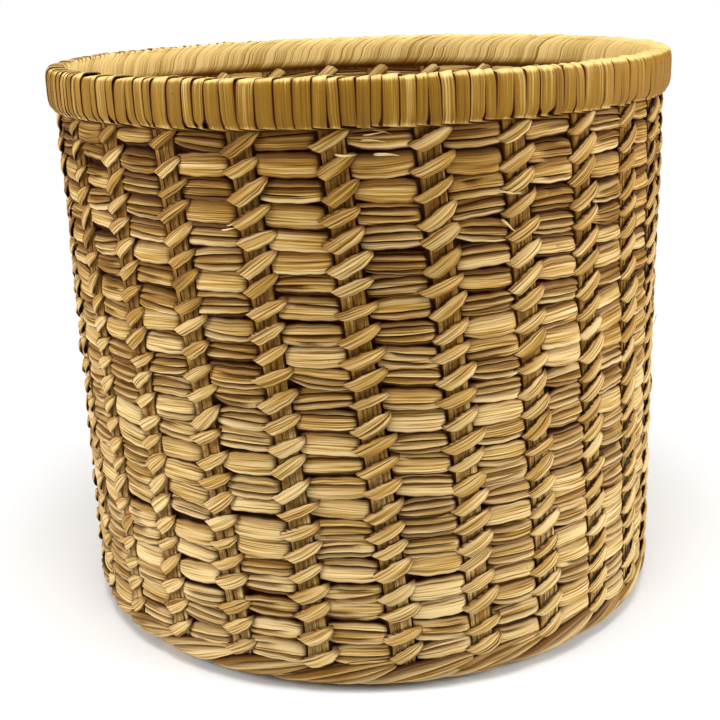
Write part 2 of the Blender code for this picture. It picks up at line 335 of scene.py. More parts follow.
def shaped_tubes(name, *batches):
    """Makes tubes from grids and welds their edges. Each batch is (count, steps, rows, shape), and its
    shape() lays out the points, texture places, tones and shades of its grids."""
    bm = bmesh.new()
    for count, steps, rows, _ in batches:
        for _ in range(count):
            bmesh.ops.create_grid(bm, x_segments=steps, y_segments=rows, size=0.5)
    mesh = bpy.data.meshes.new(name)
    bm.to_mesh(mesh)
    flat = np.empty(len(mesh.vertices) * 3)
    mesh.vertices.foreach_get("co", flat)
    grids = flat.reshape(-1, 3) + 0.5
    laid, start = [], 0
    for count, steps, rows, shape in batches:
        end = start + count * (steps + 1) * (rows + 1)
        grid = grids[start:end].reshape(count, -1, 3)
        points, texture, tone, shade = shape(grid[..., 0], np.rint(grid[..., 1] * rows).astype(int))
        plain = np.zeros(grid.shape[:2])
        laid.append((points.reshape(-1, 3), np.stack(texture, axis=-1).reshape(-1, 2), (tone + plain).ravel(),
                     (np.clip(shade, 0, 1) + plain).ravel()))
        start = end
    points, texture, tone, shade = [np.concatenate(part) for part in zip(*laid)]
    mesh.vertices.foreach_set("co", points.reshape(-1))
    # The place along and across the fibres is the UV map, and tone and painted shade are attributes
    corner = np.empty(len(mesh.loops), int)
    mesh.loops.foreach_get("vertex_index", corner)
    mesh.uv_layers.new(name="fibres").data.foreach_set("uv", texture[corner].reshape(-1))
    for layer, values in (("tone", tone), ("shade", shade)):
        mesh.attributes.new(layer, "FLOAT", "POINT").data.foreach_set("value", values)
    bm.clear()
    bm.from_mesh(mesh)
    bmesh.ops.remove_doubles(bm, verts=bm.verts, dist=0.000001)
    if bm.calc_volume(signed=True) < 0:
        bmesh.ops.reverse_faces(bm, faces=bm.faces)
    bm.to_mesh(mesh)
    bm.free()
    mesh.shade_smooth()
    mesh.set_sharp_from_angle(angle=math.radians(36))
    return mesh


def add_object(name, data):
    added = bpy.data.objects.new(name, data)
    bpy.context.scene.collection.objects.link(added)
    return added


def add_piece(name, mesh, material_name, slot, *nodes):
    piece = add_object(name, mesh)
    mesh.materials.append(finish(material_name))
    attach(piece, "root")
    if nodes:
        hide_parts(*nodes)


def fold_rows(random, count, rows, most, chance):
    """How each strand is folded lengthwise into strips that lap like shingles, each over the one below it.

    Returns, for each row: the share of the strand's height, how far the fold raises or sinks it (in crease
    depths), how much painted shade the fold puts on it, the strip it belongs to, and the row whose fold it
    belongs to."""
    even = np.linspace(0, 1, rows + 1)
    shares = np.tile(0.6 * even + 0.4 * (0.5 - 0.5 * np.cos(math.pi * even)), (count, 1))
    relief, gloom = np.zeros((2, count, rows + 1))
    strips = np.zeros((count, rows + 1), int)
    owners = np.tile(np.arange(rows + 1), (count, 1))
    for strand in range(count):
        row = int(random.integers(2, 5))
        folds = 0
        likely = chance * random.choice([0, 0.7, 1, 1.2]) if chance < 1 else 1
        while row <= rows - 2 and folds < most:
            if random.random() < likely:
                depth = random.uniform(0.6, 1.1)
                shares[strand, row] += random.normal(0, 0.012)
                shares[strand, row - 1] = shares[strand, row] - 0.035
                shares[strand, row + 1] = shares[strand, row] + 0.04
                relief[strand, row - 1:row + 2] = 0.26 * depth, -depth, -0.50 * depth
                gloom[strand, row:row + 2] = 1.0, 0.25 + 0.35 * depth
                if row + 2 <= rows:
                    relief[strand, row + 2] -= 0.12 * depth
                    gloom[strand, row + 2] = 0.12 * depth
                owners[strand, row - 1:row + 3] = row
                strips[strand, row + 1:] += 1
                folds += 1
            row += 3
    return shares, relief, gloom, strips, owners


def strand_shape(random, count, style, front_rows, back_rows, lay, size, shared, shown=True):
    """Lays out strands of one style. lay(strand, place, out, across) puts their own measures on the basket.

    shared holds the tone and lift that a run and its stitch have in common, and may hold how steep and stout
    the stitches are and how much painted shade (gloom) lies on the strands. Rows up to front_rows are the face
    that shows."""
    settings = bpy.context.scene.basket
    column, by_strip, by_row = (count, 1), (count, front_rows + 2), (count, front_rows + 1)
    stitch = style is STITCH_STYLE
    play = settings.strand_play * (1 if shown else HIDDEN_PLAY)
    places, *measures = np.array(style["table"]).T
    middle_place = (places[0] + places[-1]) / 2
    if stitch:
        near = 0.06 if shown else 0.12
        stops = [0, near, 1 - near, 1], places[[0, 1, -2, -1]]
    else:
        stops = [0, 0.2, 0.8, 1], [places[0], places[0] + 0.1, places[-1] - 0.1, places[-1]]
    scale = MILLIMETRE * size

    def spread(amount, middle=0):
        return random.normal(middle, amount, column)

    tones = shared["tone"] + spread(style["tone_spread"])
    start = random.uniform(0, 5, column)
    lift = spread(play) + shared["lift"] * style["shared_lift"]
    tilt = spread(play * style["tilt"])
    bow = spread(play * style["bow"])
    if stitch:
        tall = np.clip(spread(0.11, 1.04), 0.84, 1.3) * shared.get("stout", 1)
        stretch = spread(0.07, 1)
    else:
        tall = random.uniform(*((1.0, 1.14) if shown else (1.14, 1.25)), column)
    slide = spread(style["slide"])
    proud = spread(0.7 * play)
    turn = spread(0.08, -0.12) * (1 if shown else HIDDEN_PLAY)
    steep = shared.get("steep", 1) * spread(0.08, 1)
    taper = random.choice([0, 0.06, 0.15, 0.35], (count, 2)) * [1.0, 0.55] * (shown and style["tapers"])
    # Painted shade over the upper part of each strand, where the strand above overhangs it
    gloomy = random.uniform(0.12, 0.42, column) * style["gloom"] + style["extra_gloom"]
    gloomy = gloomy + shared.get("gloom", 0)
    # How strong each strand's painted highlight line is
    highlight_strength = random.choice([0, 0.1, 0.25, 0.45], column)
    folded = fold_rows(random, count, front_rows, style["most_folds"], style["fold_chance"])
    shares, relief, gloom, strips, owners = folded
    strip_tones = random.normal(0, style["strip_spread"], by_strip)
    # The lowest strip of each strand is painted paler, as a highlight where it stands out below the others
    lowest = strips[:, -1]
    strip_tones[np.arange(count), lowest] += np.where(lowest > 0, 0.12, 0.03)
    strip_heights = random.normal(0, 0.00016, by_strip)
    fold_slant = random.normal(0, 0.18, by_row)
    fold_start = random.uniform(-1.0, 0.45, by_row)
    fold_end = random.uniform(0.6, 2.2, by_row)
    edge_wave = random.uniform(0, 6, (count, 2))[:, :1]
    strand = np.arange(count)[:, None]

    def shape(along, row):
        place = np.interp(along, *stops)
        run = (place - middle_place) / (places[-1] - places[0]) * 2
        upper, lower, out, thickness = [smooth_curve(place, places, part) * scale for part in measures]
        out = out + proud
        middle = (upper + lower) / 2 + lift + tilt * run + bow * (1 - run ** 2)
        half = (upper - lower) / 2 * tall + 0.00014 * np.sin(9 * run + edge_wave)
        half = half * (1 - taper[:, :1] * ramp(-run, 0.2, 1.0))
        half = half * (1 - taper[:, 1:] * ramp(run, 0.45, 1.0))
        front = row <= front_rows
        row_front = np.minimum(row, front_rows)
        owner = owners[strand, row_front]
        strip = strips[strand, row_front]
        share = shares[strand, row_front]
        share = share + fold_slant[strand, owner] * run * 4 * share * (1 - share) / front_rows * 3
        back_share = np.clip((row - front_rows) / back_rows, 0, 1)
        across = np.where(front, 1 - 2 * share, 2 * back_share - 1)
        crown = np.sqrt(np.clip(1 - across ** 2, 0, 1))
        ends = np.minimum(ramp(along, -0.02, 0.07), ramp(1 - along, -0.02, 0.07))
        if stitch:
            ends = np.maximum(ends, 0.9 * ((along > 0) & (along < 0.5)))
        tip = (along <= 0) | (along >= 1)

        # A fold opens at one place along the strand and closes at another
        window = ends * ramp(along, fold_start[strand, owner] - 0.2, fold_start[strand, owner])
        window = window * ramp(-along, -fold_end[strand, owner], 0.3 - fold_end[strand, owner])
        rise = relief[strand, row_front] * window * settings.crease_depth * style["crease"]
        rise = rise + strip_heights[strand, strip] * crown
        raise_front = thickness * (0.36 * crown ** 0.45 + 0.12 * crown) + rise
        raise_back = -(thickness * 0.45 + style["extra_back"]) * crown
        raised = np.where(front, raise_front, raise_back) + turn * half * across
        out_all = np.where(tip, out, out + raised * ends)
        across_all = middle + half * across * (0.35 + 0.65 * ends)
        if stitch:
            across_all = steep * across_all
            skew = STITCH_SKEW * tall * across * (1 - 0.6 * ramp(along, 0.65, 1))
            place = middle_place + (place - middle_place) * stretch + slide - skew * ~tip
        elif not shown:
            place = middle_place + (place - middle_place) * 1.05
        across_all = np.where(tip, middle, across_all)
        points = lay(strand, place if stitch else place + slide, out_all, across_all)

        reach = SECTOR * WALL_MIDDLE * size * style["fibre_stretch"]
        height = np.where(front, share, 1 + back_share) * style["girth"]
        texture = place * reach + start, height + 7 * start

        # A painted highlight line stands just inside the lower edge. Painted shade darkens the edges, the
        # upper part (gloom), the ends where the strand goes behind a stake, the folds and the back.
        line = ramp(-across, 0.55, 0.75) * (1 - ramp(-across, 0.93, 1.0)) * front
        line = highlight_strength * style["highlight_edge"] * line
        tone = tones + strip_tones[strand, strip] * style["strip_tone"] + line
        edge = (0.15 * np.abs(across) ** 3 + 0.8 * np.abs(across) ** 8) * style["edge_shade"]
        edge = edge * (1 - 1.6 * line)
        edge = np.maximum(edge, gloomy * ramp(across, -0.15, 1.0) * front)
        if stitch:
            first = 1 - ramp(along, 0.0, 0.06)
            last = 0.6 * ramp(along, 0.88, 1.0)
        else:
            first = 1 - ramp(along, 0.0, 0.11)
            last = ramp(along, 0.86 - 0.35 * shared.get("gloom", 0), 1.04)
        fold = 0.95 * gloom[strand, row_front] * window * style["fold_shade"]
        shade = np.maximum.reduce([edge, first, last, fold, np.where(front, 0.0, 1.0)])
        return points, texture, tone, shade

    return shape


def twining(random, count, lay, size, fine=True, paleness=0.5, gloom=0.0, stitch_gain=0.0, steep=1.0,
            stout=1.0):
    """Runs and stitches of the same strands, as two batches of tubes."""
    play = bpy.context.scene.basket.strand_play * (1 if fine else HIDDEN_PLAY)
    lift = random.normal(0, play, (count, 1))
    tone = random.normal(paleness, 0.045, (count, 1))
    run_shared = {"tone": tone, "lift": lift, "gloom": gloom}
    stitch_shared = {"tone": tone + stitch_gain, "lift": lift, "gloom": 0.6 * gloom, "steep": steep,
                     "stout": stout}
    run_steps, run_rows, stitch_steps, stitch_rows = (14, 11, 16, 7) if fine else (10, 7, 8, 5)
    runs = strand_shape(random, count, RUN_STYLE, run_rows, 2, lay, size, run_shared, fine)
    stitches = strand_shape(random, count, STITCH_STYLE, stitch_rows, 2, lay, size, stitch_shared, fine)
    return [(count, run_steps, run_rows + 2, runs), (count, stitch_steps, stitch_rows + 2, stitches)]


def course_mesh(number):
    """One round of two-strand twining: a strand over every stake outside, and another inside."""
    random = np.random.default_rng(100 + number)
    last = len(COURSE_NODES) - 1
    climb = number / last
    # The top rounds are pushed up under the rim, and the lowest are beaten down onto the heel
    nudge = {last: 0.0009, last - 1: 0.0004, 0: -0.0022, 1: -0.0013, 2: -0.0006}.get(number, 0)
    height = COURSE_HEIGHTS[number] + nudge
    stray = [random.normal(0, 0.0002) for _ in range(3)]
    phases = random.uniform(0, 6.28, 2)
    outside_cover = 1.05 - 0.07 * ramp(climb, 0.1, 0.8)
    # The rounds are painted darker towards the top, as painted shade that deepens just under the rim
    paleness = 0.76 - 0.37 * climb ** 1.2 - 0.11 * ramp(climb, 0.85, 1)

    def wander(angle):
        return stray[0] * np.sin(angle) + stray[1] * np.cos(2 * angle) + stray[2] * np.sin(3 * angle)

    def lay_outside(strand, place, out, across):
        angle = (strand + place) * SECTOR
        ripple = 0.00028 * np.sin(7 * angle + phases[0]) + 0.00022 * np.sin(11 * angle + phases[1])
        return on_wall(strand + place, out, height + across * outside_cover + wander(angle) + ripple)

    def lay_inside(strand, place, out, across):
        rise = wander((strand + place) * SECTOR) - across * INSIDE_COVER
        return on_wall(strand + place, -INSIDE_OUT * out, height + rise)

    # More painted shade (gloom) lies on the upper rounds, and the stitches, which stand proud, take less of it
    # and less of the darkening towards the top
    outside = twining(random, STAKE_COUNT, lay_outside, WEFT_SIZE, paleness=paleness,
                      gloom=0.28 * ramp(climb, 0.35, 0.95), stitch_gain=0.4 * (0.56 - paleness),
                      steep=0.80 + 0.09 * climb, stout=1.20 - 0.16 * climb)
    inside = twining(random, STAKE_COUNT, lay_inside, WEFT_SIZE, fine=False)
    return shaped_tubes(COURSE_NODES[number], *outside, *inside)


def stake_path(along):
    """A stake's middle line from the floor's start up into the rim: its radius, its height, how far it has
    turned up and the distance along it."""
    start = START_RADIUS * 0.92
    top = RIM_LOW[2] + 0.006
    floor_length = WALL_MIDDLE - BEND - start
    bend_length = BEND * math.pi / 2
    wall_length = top - (FLOOR_MIDDLE + BEND)
    distance = along * (floor_length + bend_length + wall_length)
    turn = np.clip((distance - floor_length) / bend_length, 0, 1) * math.pi / 2
    rise = np.clip(distance - floor_length - bend_length, 0, None)
    radius = start + np.clip(distance, 0, floor_length) + BEND * np.sin(turn)
    height = FLOOR_MIDDLE + BEND - BEND * np.cos(turn) + rise
    return radius, height, turn, distance


def stake_mesh(number):
    """A bundle of flattened stems, side by side, round a leaf that is wider than what shows and is painted in
    full shade, so that it shows as dark gaps beside the stems.
    """
    random = np.random.default_rng(400 + number)
    settings = bpy.context.scene.basket
    stems = int(random.choice([4, 4, 5]))
    widths = random.uniform(0.65, 1.35, stems)
    widths *= 3.4 * settings.stem_width / widths.sum()
    centres = np.cumsum(widths) - widths / 2 - widths.sum() / 2
    # The last stem is the leaf inside the bundle, painted in full shade
    widths = np.append(widths, 4.5 * settings.stem_width)[:, None]
    centres = np.append(centres, 0)[:, None]
    stems += 1
    inner = (np.arange(stems) == stems - 1)[:, None]
    half_widths = np.where(inner, 0.5, 0.64) * widths
    phases = random.uniform(0, 6, (stems, 1))
    proud = random.normal(0, 0.00008, (stems, 1))
    tones = random.normal(0.50, 0.10, (stems, 1))
    start = random.uniform(0, 5, (stems, 1))
    rows = 8
    sway = random.uniform(0, 6)

    def shape(along, row):
        radius, height, turn, distance = stake_path(along)
        around = row / rows * 2 * math.pi
        ends = (along <= 0) | (along >= 1)
        on_wall_part = turn > 1
        narrow = 0.62 + 0.38 * ramp(radius, START_RADIUS, 0.075)
        wander = 0.0003 * np.sin(23 * distance + sway) + 0.00012 * np.sin(61 * distance + phases)
        side = centres * narrow + wander - half_widths * narrow * np.cos(around)
        side = np.where(ends, centres * narrow, side)
        rounding = np.sign(np.sin(around)) * np.abs(np.sin(around)) ** 0.22
        squeeze = 1 - 0.10 * np.cos(2 * math.pi * (height - LOWEST) / PITCH) * on_wall_part
        out = np.where(inner, 0.0005, STAKE_DEPTH / 2 * squeeze + proud) * rounding
        out = np.where(ends, 0, out) + 0.00025 * np.sin(21 * distance + phases)
        reach = radius + out * np.sin(turn)
        level = height - out * np.cos(turn)
        angle = stake_angle(number, np.maximum(level, LOWEST))
        points = ring_points(reach, angle, level)
        points = points + np.stack([-side * np.sin(angle), side * np.cos(angle), 0 * side], axis=-1)
        texture = distance + start, row / rows * 0.008 + 3 * start
        # A stitch's lower edge climbs from the stake's left to its right, and a painted shadow darkens the
        # stems below it. Painted shade also darkens the grooves between the stems.
        below = (height - LOWEST + 0.0055 - 0.7 * side) / PITCH
        below_stitch = (0.5 + 0.5 * np.cos(2 * math.pi * below)) ** 1.5 * on_wall_part
        shade = 0.85 * np.abs(np.cos(around)) ** 9 + 0.42 * below_stitch + inner
        # The stems are painted lighter near the floor and darker up the wall, as painted light and shade
        tone = tones + 0.25 - 0.46 * ramp(height, 0.04, 0.20)
        return points, texture, tone, shade

    return shaped_tubes(STAKE_NODES[number], (stems, 150, rows, shape))


def heel_mesh():
    """Heavy strands laid slantwise round the heel like a rope, each going under the next."""
    random = np.random.default_rng(700)
    shared = {"tone": random.normal(0.70, 0.12, (STAKE_COUNT, 1)), "lift": np.zeros((STAKE_COUNT, 1))}
    outer_bend = HEEL_BEND_RADIUS + STAKE_DEPTH + 0.0024

    def lay(strand, place, out, across):
        tucked = np.minimum(out, 0.0047) * (1 - 0.5 * ramp(across, -0.001, 0.009))
        return on_bend(strand + place, STAKE_DEPTH / 2 + tucked, across / outer_bend)

    shape = strand_shape(random, STAKE_COUNT, HEEL_STYLE, 13, 3, lay, 1, shared)
    return shaped_tubes("heel_twist_strands", (STAKE_COUNT, 26, 16, shape))


def heel_inner_mesh():
    """The twining that turns the corner between the floor and the wall inside."""
    random = np.random.default_rng(720)
    corner_cover = 1.62

    def lay(strand, place, out, across):
        return on_bend(strand + place, -INSIDE_OUT * out, -corner_cover * across / BEND)

    return shaped_tubes("heel_inner_twining", *twining(random, STAKE_COUNT, lay, 1, fine=False))


def floor_mesh(name, side):
    """The twining on one face of the floor, in rounds from the middle out: side is 1 below and -1 above."""
    first, last = START_RADIUS + PITCH * 0.42, FLOOR_RADIUS - PITCH * 0.42
    rounds = int((last - first) / PITCH) + 1
    step = (last - first) / (rounds - 1)
    strands = []
    for radius in [first + step * number for number in range(rounds)]:
        count = STAKE_COUNT // 2 if radius < PAIRED_RADIUS else STAKE_COUNT
        strands += [(radius, count, place) for place in range(count)]
    radii, counts, starts = [np.array(part, float)[:, None] for part in zip(*strands)]
    random = np.random.default_rng(800 if side > 0 else 850)
    offset = 0 if side > 0 else 1

    def lay(strand, place, out, across):
        whole = starts[strand[:, 0]] + offset + place
        radius = radii + side * across * step / PITCH
        return on_floor(whole, side * out * INSIDE_OUT, radius, 2 * math.pi / counts)

    return shaped_tubes(name, *twining(random, len(strands), lay, WEFT_SIZE, fine=False))


def floor_start_mesh():
    """The stakes' crossing in the middle: strips plaited over and under."""
    random = np.random.default_rng(900)
    lanes = [("x", lane - 3) for lane in range(7)] + [("y", lane - 2.5) for lane in range(6)]
    count = len(lanes)
    reach = START_RADIUS + 0.004
    rows = 12
    tones = random.normal(0.46, 0.12, (count, 1))
    start = random.uniform(0, 5, (count, 1))

    def shape(along, row):
        points = np.empty(along.shape + (3,))
        for strand, (way, lane) in enumerate(lanes):
            offset = lane * PLAIT_PITCH
            half = math.sqrt(max(reach ** 2 - offset ** 2, 0.0001))
            run = (along[strand] * 2 - 1) * half
            around = row[strand] / rows * 2 * math.pi
            ends = (along[strand] <= 0) | (along[strand] >= 1)
            parity = round(lane) if way == "x" else round(lane - 0.5)
            phase = run / PLAIT_PITCH + (0.5 if way == "x" else 0) + parity
            over = np.cos(math.pi * phase) * (1 if way == "x" else -1)
            fade = 1 - ramp(np.abs(run), 0.022, 0.030)
            across = offset + np.where(ends, 0, 0.0040 * np.cos(around))
            rise = np.where(ends, 0, 0.0009 * np.sin(around)) + 0.0010 * over * fade
            level = (run, across) if way == "x" else (across, run)
            points[strand] = np.stack([*level, FLOOR_MIDDLE + rise], axis=-1)
        texture = along * 0.07 + start, row / rows * 0.018 + start
        # Painted shade along the strips' edges, where they meet
        shade = np.abs(np.cos(row / rows * 2 * math.pi)) ** 6 * 0.9
        return points, texture, tones, shade

    return shaped_tubes("floor_start_plait", (count, 60, rows, shape))


def rim_section(turn, inset):
    """(radius, height) on the rim's rounded oblong section. Turn 0 faces out and a quarter turn faces up."""
    half_width = RIM_HALF_WIDTH - inset
    half_height = (RIM_HIGH[2] - RIM_LOW[2]) / 2 - inset
    power = 2 / RIM_SQUARENESS
    across = np.sign(np.cos(turn)) * np.abs(np.cos(turn)) ** power
    up = np.sign(np.sin(turn)) * np.abs(np.sin(turn)) ** power
    radius, height = RIM_HIGH[0] - RIM_HALF_WIDTH, (RIM_HIGH[2] + RIM_LOW[2]) / 2
    return radius + half_width * across, height + half_height * up


def rim_wrap_mesh():
    """The strip wound over and over the rim, each turn lapping the last: upright outside, then slanting over
    the top and down the inside."""
    random = np.random.default_rng(500)
    settings = bpy.context.scene.basket
    count = round(2 * math.pi * RIM_HIGH[0] / settings.strip_width)
    # From a strip's left edge over its face to its right edge and back underneath
    across_rows = np.array([-1, -0.92, -0.80, -0.66, -0.2, 0.25, 0.65, 0.9, 1, 1, -1])
    thick_rows = np.array([0, 0.7, 0.9, 0.97, 1.04, 1.04, 1, 0.95, 0.8, 0, 0])
    # Painted shade along each strip's seams, where one strip laps its neighbour, and on its underside
    shade_rows = np.array([1, 1, 1, 0.2, 0, 0, 0.05, 0.15, 0.6, 1, 1])
    rows = len(across_rows) - 1
    spans = random.uniform(0.6, 1.4, count)
    spans *= 2 * math.pi / spans.sum()
    centres = (np.cumsum(spans) - spans / 2)[:, None]
    spans = spans[:, None]
    column = (count, 1)
    slants = random.normal(0, 0.0005, column)
    crest = random.normal(0, 0.0002, column)
    tones = random.normal(0.48, 0.09, column)
    lap = random.uniform(0.10, 0.40, column) * MILLIMETRE
    # A few strips gape apart at the foot or are nicked on top
    gape = random.normal(0, 0.03, column) + (random.random(column) < 0.12) * random.uniform(0.10, 0.35, column)
    nick = (random.random(column) < 0.06) * random.uniform(0.15, 0.4, column)
    dip = random.normal(0, 0.00035, column)
    start = random.uniform(0, 5, column)
    phase = random.uniform(0, 6, column)
    seam = random.choice([0.1, 0.3, 1.0], column)

    def shape(along, row):
        turn = -math.pi / 2 + along * 2 * math.pi
        out, up = np.cos(turn), np.sin(turn)
        across, face = across_rows[row], thick_rows[row]
        outside = ramp(out, -0.2, 0.5)
        inside = ramp(-out, 0.2, 0.9)
        top = ramp(up, 0.80, 1.0)
        foot = ramp(-up, 0.35, 1.0) * (out > -0.3)

        lift = 0.75 * settings.strip_thickness * face + lap * (0.5 + 0.5 * across) * (1 - 0.5 * inside)
        ripple = 0.00006 * np.sin(2.6 * across * math.pi + phase) * (face > 0.9)
        radius, height = rim_section(turn, STRIP_INSET - lift - ripple)
        height = height - ramp(-up, 0.85, 1.0) * (0.0012 + dip)
        height = height + top * (crest + 0.0002 * across)
        # The strip stands upright outside, slants over the top and down the inside, and comes back below
        slide = slants * up * outside + 0.009 * (1 - ramp(turn, -1.57, -1.2))
        slide = slide + 0.018 * ramp(turn, 1.3, 4.1) - 0.009 * ramp(turn, 4.2, 4.71)
        width = spans * RIM_HIGH[0] * (0.54 - gape * foot * outside - nick * top)
        points = ring_points(radius, centres + (slide + across * width) / RIM_HIGH[0], height)
        girth = (across + 1.2 * (row == rows)) * spans * 0.0675
        texture = along * 0.052 + start, girth + 3 * start

        # Painted shade darkens the seams, less where they close towards the top and the inside, and the foot
        # and the lower inside.
        # A painted highlight line runs just above the foot, the top and the upper inside are painted lighter
        # as lit from above, and the outer face is painted darker towards the foot.
        closed = np.maximum(inside, 0.55 * ramp(up, 0.85, 1))
        edge = shade_rows[row] * (1 - (1 - 0.5 * seam) * closed)
        under = ramp(-up, 0.93, 1.0) * 0.7
        low_inside = 0.75 * inside * ramp(-up, 0.0, 0.85)
        hem_highlight = ramp(-up, 0.86, 0.93) * (1 - ramp(-up, 0.93, 0.99)) * outside
        lit = np.maximum(ramp(up, 0.62, 0.93), inside * ramp(up, -0.7, 0.3))
        tone = tones + 0.60 * lit - 0.08 * outside * ramp(-up, -0.6, 0.6) + 0.35 * hem_highlight
        shade = np.maximum.reduce([edge, under, low_inside])
        return points, texture, tone, shade

    return shaped_tubes("rim_wrap_strips", (count, 34, rows, shape))


def rim_core_mesh():
    """The bundle under the wrapping, painted in shade, so that it shows only as dark stems between the strips.
    """
    rows = 20

    def shape(along, row):
        angle = along * 2 * math.pi
        turn = row / rows * 2 * math.pi
        radius, height = rim_section(turn, BUNDLE_INSET)
        stems = 0.00015 * np.cos(9 * turn + 3 * angle)
        points = ring_points(radius + stems, angle, np.maximum(height, RIM_LOW[2] + 0.0016))
        texture = angle * 0.13, row / rows * 0.05
        # Painted shade over the whole bundle
        return points, texture, 0.3, 0.75

    return shaped_tubes("rim_core_bundle", (1, 160, rows, shape))


def frayed_ends_mesh():
    """Fibres that have come away from the strands: pale, with painted shade where they leave the wall."""
    random = np.random.default_rng(1000)
    table = np.array(FRAYED_ENDS).T[:, :, None]
    places, slants = table[0], np.radians(table[2])
    heights, lengths, widths, lifts = table[[1, 3, 4, 5]] * MILLIMETRE
    rows = 6
    curls = random.uniform(-0.5, 0.5, places.shape)
    start = random.uniform(0, 5, places.shape)
    tones = random.uniform(0.75, 1.05, places.shape)

    def shape(along, row):
        around = row / rows * 2 * math.pi
        ends = (along <= 0) | (along >= 1)
        slope = slants + curls * along
        width = widths / 2 * (1 - 0.75 * ramp(along, 0.3, 1.0))
        side = np.where(ends, 0, width * np.cos(around))
        run = along * lengths
        sideways = run * np.cos(slope) - side * np.sin(slope)
        height = heights + run * np.sin(slope) + side * np.cos(slope)
        flat = np.where(ends, 0, 0.00022 * np.sin(around))
        out = 0.0022 + 0.0014 * ramp(along, 0, 0.35) + lifts * along ** 2 + flat
        points = on_wall(places + sideways / (SECTOR * WALL_MIDDLE), out, height)
        texture = run + start, row / rows * 0.003 + 3 * start
        return points, texture, tones, 0.4 * (1 - ramp(along, 0, 0.2))

    return shaped_tubes("frayed_ends", (len(FRAYED_ENDS), 9, rows, shape))


def fill(node, values):
    """Sets a node's sockets, and links those whose value is another node's socket."""
    for socket, value in values.items():
        if isinstance(value, bpy.types.NodeSocket):
            node.id_data.links.new(value, node.inputs[socket])
        else:
            node.inputs[socket].default_value = value
    return node


def math_node(nodes, operation, *values, clamp=False):
    node = nodes.new("ShaderNodeMath")
    node.operation = operation
    node.use_clamp = clamp
    return fill(node, dict(enumerate(values))).outputs[0]


def range_node(nodes, value, low, high):
    """Rises evenly from 0 at low to 1 at high."""
    node = nodes.new("ShaderNodeMapRange")
    return fill(node, {"Value": value, "From Min": low, "From Max": high}).outputs["Result"]


def fibre_group():
    """Rush: long fine fibres, broader streaks, spots and tones, from the UV map that runs along the fibres."""
    group = bpy.data.node_groups.new("Rush fibres", "ShaderNodeTree")
    nodes, face = group.nodes, group.interface
    for name, default in RUSH.items():
        socket = face.new_socket(name=name, in_out="INPUT", socket_type="NodeSocketFloat")
        socket.default_value = default
    for name in ("Pale", "Honey", "Olive", "Shade brown", "Shadow"):
        socket = face.new_socket(name=name, in_out="INPUT", socket_type="NodeSocketColor")
        socket.default_value = (0.5, 0.35, 0.15, 1)
    face.new_socket(name="Colour", in_out="OUTPUT", socket_type="NodeSocketColor")
    for name in ("Roughness", "Height"):
        face.new_socket(name=name, in_out="OUTPUT", socket_type="NodeSocketFloat")
    given = nodes.new("NodeGroupInput").outputs
    result = nodes.new("NodeGroupOutput")
    uv = nodes.new("ShaderNodeUVMap")
    uv.uv_map = "fibres"
    split = fill(nodes.new("ShaderNodeSeparateXYZ"), {0: uv.outputs["UV"]}).outputs
    solid = nodes.new("ShaderNodeTexCoord").outputs["Object"]

    def calc(operation, *values, clamp=False):
        return math_node(nodes, operation, *values, clamp=clamp)

    def stretch(value, low, high):
        return range_node(nodes, value, low, high)

    def around_middle(value, strength, base):
        return calc("MULTIPLY_ADD", calc("SUBTRACT", value, 0.5), strength, base)

    def attribute(name):
        node = nodes.new("ShaderNodeAttribute")
        node.attribute_name = name
        return node.outputs["Fac"]

    def noise(place, scale, detail, roughness=0.5, dimensions="3D"):
        node = nodes.new("ShaderNodeTexNoise")
        node.noise_dimensions = dimensions
        values = {"Vector": place, "Scale": scale, "Detail": detail, "Roughness": roughness}
        return fill(node, values).outputs["Fac"]

    def streaks(spacing, length, detail):
        along, across = calc("DIVIDE", split["X"], length), calc("DIVIDE", split["Y"], spacing)
        place = fill(nodes.new("ShaderNodeCombineXYZ"), {"X": along, "Y": across})
        return noise(place.outputs[0], 1, detail, 0.6, "2D")

    def blend(factor, first, second):
        node = nodes.new("ShaderNodeMix")
        node.data_type = "RGBA"
        return fill(node, {"Factor": factor, "A": first, "B": second}).outputs["Result"]

    fine = streaks(given["Fibre spacing"], 0.034, 1.5)
    broad = streaks(given["Streak spacing"], 0.060, 2.0)
    blotch, spot = noise(solid, 55, 3), noise(solid, 420, 2)
    contrast = given["Contrast"]

    tone = around_middle(broad, 0.95, around_middle(fine, 1.7, 0.0))
    tone = calc("MULTIPLY_ADD", tone, contrast, attribute("tone"))
    tone = calc("ADD", around_middle(blotch, 0.24, tone), given["Tone shift"], clamp=True)
    darker = blend(stretch(tone, 0.02, 0.46), given["Olive"], given["Honey"])
    colour = blend(stretch(tone, 0.46, 0.98), darker, given["Pale"])

    # Painted shade: the colour goes brown towards edges and folds and nearly black deep between strands. The
    # rush's dark specks and fine fibre lines take the same deep brown.
    painted_shade = calc("MULTIPLY", attribute("shade"), given["Depth"], clamp=True)
    colour = blend(calc("MULTIPLY", stretch(painted_shade, 0.0, 0.50), 0.86), colour, given["Shade brown"])
    dots = calc("MULTIPLY", stretch(spot, 0.73, 0.78), 0.4)
    lines = calc("MULTIPLY", calc("MULTIPLY", stretch(fine, 0.41, 0.29), contrast), 0.6)
    dark = calc("MAXIMUM", stretch(painted_shade, 0.29, 0.76), calc("MAXIMUM", dots, lines))
    fill(result, {
        "Colour": blend(dark, colour, given["Shadow"]),
        "Roughness": calc("MULTIPLY_ADD", painted_shade, 0.3, calc("MULTIPLY_ADD", fine, 0.22, 0.44)),
        "Height": calc("MULTIPLY_ADD", broad, 0.7, fine),
    })
    return group


